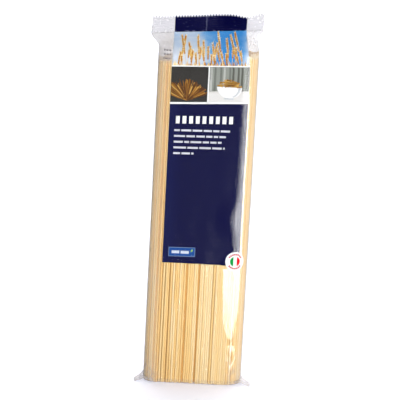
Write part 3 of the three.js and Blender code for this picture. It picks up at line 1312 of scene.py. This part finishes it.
def buildBadge():
    look = badgeLook
    s, z = look["middle"]
    cuts = {"acrossStep": look["cuts"], "heightStep": look["cuts"]}
    sheet = PrintSheet("print_badge", -0.12)
    turns = np.linspace(0, 2 * math.pi, 56, endpoint=False)
    sheet.shape([spoke(s, z, look["radius"], a) for a in turns], white)
    disc = sheet.finish(**cuts)
    sheet = PrintSheet("print_badge_mark", -0.15)
    r = look["roundel"]
    limit = math.acos(1 / 3)  # the middle third stays white
    for side, colour in ((-1, look["green"]), (1, look["red"])):
        turns = np.linspace(-limit, limit, 14)
        sheet.shape([(s + side * r * math.cos(a), z + r * math.sin(a)) for a in turns], colour)
    for start, end, count in look["ringArcs"]:
        width = (end - start) / count
        for i in range(count):
            a = start + width * i
            sheet.ring(s, z, *look["ringSize"], a + 2, a + width - 3, look["ring"], 2)
    return disc, sheet.finish(**cuts)


codeLook = {
    "ink": ink(118, 114, 118),
    "rows": (255.6, 252.7, 249.6),
    "ends": (-34.4, -28.2),
    "height": 1.1,
    "seed": 3,
}


def buildCodeBars():
    sheet = PrintSheet("print_code_bars", -0.08)
    draw = random.Random(codeLook["seed"])
    for z in codeLook["rows"]:
        s, end = codeLook["ends"]
        top = z + codeLook["height"]
        while s < end:
            width = draw.uniform(0.9, 2.2)
            sheet.slab((s, s + width), (z, z), (top, top), codeLook["ink"])
            s += width + 0.7
    return sheet.finish()


def buildSealBand():
    # navy print over the crimped seal, cut in the same teeth
    start, end = (bag["sealOffset"] + s * sealScale for s in (left, right))
    origin = bag["sealOffset"] - bag["sealWidth"] / 2
    pitch = bag["sealWidth"] / (4 * sealTeeth)
    first, last = math.ceil((start - origin) / pitch), math.floor((end - origin) / pitch)
    foot = -0.1

    def place(step, up):
        x = origin + pitch * step
        if up > sealNotch:
            up = sealNotch + seal["toothHeight"] * (step % 4 < 2) + 0.05
        if up < 0:
            up = foot + 0.3 * noise.noise(Vector((x * 0.4, 0, 0)))
        return sealPoint(x, up, 0.3)

    sheet = sheetMesh(range(first, last + 1), sealRows(foot), place)
    return thicken(pieceFrom("seal_band", sheet, sealInk), 0.05)


printPieces = [buildPanel(), buildSky(), buildWhiteLines(), buildWheat(), buildSealBand()]
printPieces += [*buildLeftPicture(), *buildRightPicture(), buildBlocks(), buildCodeBars()]
printPieces += [*buildPlate(), *buildBadge()]
print("Print made:", len(printPieces), "pieces")


# Lap seam down the back

seam = {
    "from": -3.1,
    "to": 6.9,
    "lift": 0.35,
    "thickness": 0.12,
    "rows": ((1.6, 250, 5.0), (251, 271.1, 1.2)),  # from, to, step
}


def buildBackSeam():
    middle = outlineLength / 2
    columns = np.linspace(-seam["to"], -seam["from"], 9)
    heights = [height for row in seam["rows"] for height in np.arange(*row)]

    def place(column, level):
        lift = seam["lift"] + 0.12 * noise.noise(Vector((column * 0.3, level * 0.05, 1.7)))
        return filmPoint(middle + column, level, lift)

    sheet = sheetMesh(columns, heights, place)
    return thicken(pieceFrom("back_seam", sheet, crimpedFilm), seam["thickness"])


backSeam = buildBackSeam()


# Ears of the bottom seal, flat on the ground beside the foot

ear = {
    "reach": 45.0,
    "front": -11.2,
    "back": 7.5,
    "widest": 0.35,
    "height": 0.75,
    "rise": 3.6,
    "climb": 5.0,
    "ribs": 7,
    "ribDepth": 0.14,
    "ground": 0.12,
    "tuck": 5.7,  # how far it starts inside the bag
}


def buildEar(side, name):
    half = bag["width"] / 2
    inner = half - ear["tuck"]
    alongs = np.linspace(0, 1, 26)[::side]  # turned round on the left, so that it faces out
    acrosses = np.linspace(0.004, 0.996, 57)

    def place(along, across):
        outline = math.sqrt(max(0, 1 - ((across - ear["widest"]) / (1 - ear["widest"])) ** 2))
        outer = half + (ear["reach"] - half) * outline
        x = blend(inner, outer, along)
        y = blend(ear["front"], ear["back"], across)
        near = min(1.0, max(0.0, 1 - (x - half) / ear["climb"]))
        climb = near**2 * (1 + across) / 2
        rib = ear["ribDepth"] * math.sin(2 * math.pi * across * ear["ribs"] + along * 2.5)
        crumple = 0.25 * noise.noise(Vector((x * 0.5, y * 0.4, side * 4.0)))
        rim = 1 - smooth(0.86, 1, along)
        lift = ear["height"] + ear["rise"] * climb * 0.96 + rib + crumple
        z = ear["ground"] + lift * blend(0.15, 1, rim)
        return Vector((side * x, y, max(ear["ground"], z)))

    return thicken(pieceFrom(name, sheetMesh(alongs, acrosses, place), earFilm), 0.1)


ears = [buildEar(-1, "foot_ear_left"), buildEar(1, "foot_ear_right")]
print("Seam and ears made")


# Everything rides on the packet's one body

for piece in [pastaStrands, filmTube, topSeal, backSeam, *ears, *printPieces]:
    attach(piece, "root")
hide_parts("film_bag")
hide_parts("film_bag")


# Studio: a pale floor and soft light from the front right

studio = {
    "front": 0.27,  # strength of the surroundings on the camera's side, and behind
    "behind": 0.85,
    "left": 0.12,  # and what is left of it on the left
    "floorSize": 6.0,
    "floorGlow": 0.25,
    "lamps": (  # name, place, aim, width and height, watts
        ("key_light", (0.4, -1.55, 0.58), (0, 0, 0.14), (1.0, 1.0), 19),
        ("top_light", (0.0, 0.5, 1.4), (0, 0, 0), (1.0, 1.0), 11),
        ("backdrop_light", (0.0, 2.4, 1.6), (0, 2.3, 0), (3.0, 2.0), 34),
    ),
    "cards": (  # for the gloss: name, from and to azimuth, low edge, high edge, radiance
        ("softbox_rim", 20, 69, -0.138, 0.077, 2.8),
        ("softbox_edge", 31, 69, -0.138, 0.077, 5.8),
        ("softbox", 41, 69, -0.138, 0.077, 13.5),
        ("bulge_card", 39, 62, -0.138, -0.03, 32.0),
        ("upper_card", 36, 69, 0.077, 0.16, 2.5),
        ("low_softbox", 13, 75, -0.222, -0.138, 12),
        ("pocket_card", 7, 17, -0.222, -0.138, 12),
        ("tip_card", 8, 48, -0.246, -0.222, 12),
        ("left_card", -115, -75, -0.2, 0.35, 0.8),
    ),
}


def aimedLight(name, place, target, size, watts):
    data = bpy.data.lights.new(name, "AREA")
    data.shape = "RECTANGLE"
    data.size, data.size_y = size
    data.energy = watts
    light = bpy.data.objects.new(name, data)
    light.location = place
    light.rotation_euler = (Vector(target) - Vector(place)).to_track_quat("-Z", "Y").to_euler()
    bpy.context.scene.collection.objects.link(light)
    light.visible_camera = False
    return light


def makeFloor():
    plane = bmesh.new()
    bmesh.ops.create_grid(plane, x_segments=8, y_segments=8, size=studio["floorSize"])
    shader = newShader("studio_floor")
    tone = shader.noise((2, 2, 2))
    inputs = {
        "Base Color": shader.mix(tone, (0.88, 0.87, 0.89, 1), (0.91, 0.9, 0.92, 1)),
        "Roughness": 0.8,
        "Specular IOR Level": 0.0,
        "Emission Color": (0.92, 1.0, 1.3, 1),  # against the warm light off the pasta
        "Emission Strength": studio["floorGlow"],
    }
    material = shader.finish(shader.node("BsdfPrincipled", {}, inputs))
    floor = pieceFrom("studio_floor", plane, material)
    floor.visible_glossy = False


def makeSurroundings():
    shader = Shader(bpy.data.worlds.new("studio"))
    direction = shader.node("TexCoord", output="Generated")
    sideways, depth = (shader.node("SeparateXYZ", {}, {"Vector": direction}, k) for k in "XY")
    behind = shader.step(depth, -0.8, 0.35)
    strength = studio["front"] + behind * (studio["behind"] - studio["front"])
    lit = studio["left"] + shader.step(sideways, -0.7, 0.2) * (1 - studio["left"])
    inputs = {"Color": (1, 1, 1, 1), "Strength": strength * lit}
    bpy.context.scene.world = shader.finish(shader.node("Background", {}, inputs))


def makeLights():
    for lamp in studio["lamps"]:
        aimedLight(*lamp).visible_glossy = False
    for name, start, end, low, high, radiance in studio["cards"]:
        turned, spread = math.radians((start + end) / 2), math.radians((end - start) / 2)
        place = Vector((math.sin(turned), -math.cos(turned), (low + high) / 2))
        size = (2 * math.tan(spread), high - low)
        watts = radiance * math.pi * size[0] * size[1]
        aimedLight(name, place, (0, 0, place.z), size, watts).visible_diffuse = False


makeFloor()
makeSurroundings()
makeLights()
bpy.context.scene.view_settings.view_transform = "Standard"
bpy.context.scene.view_settings.look = "None"
print("Studio made")
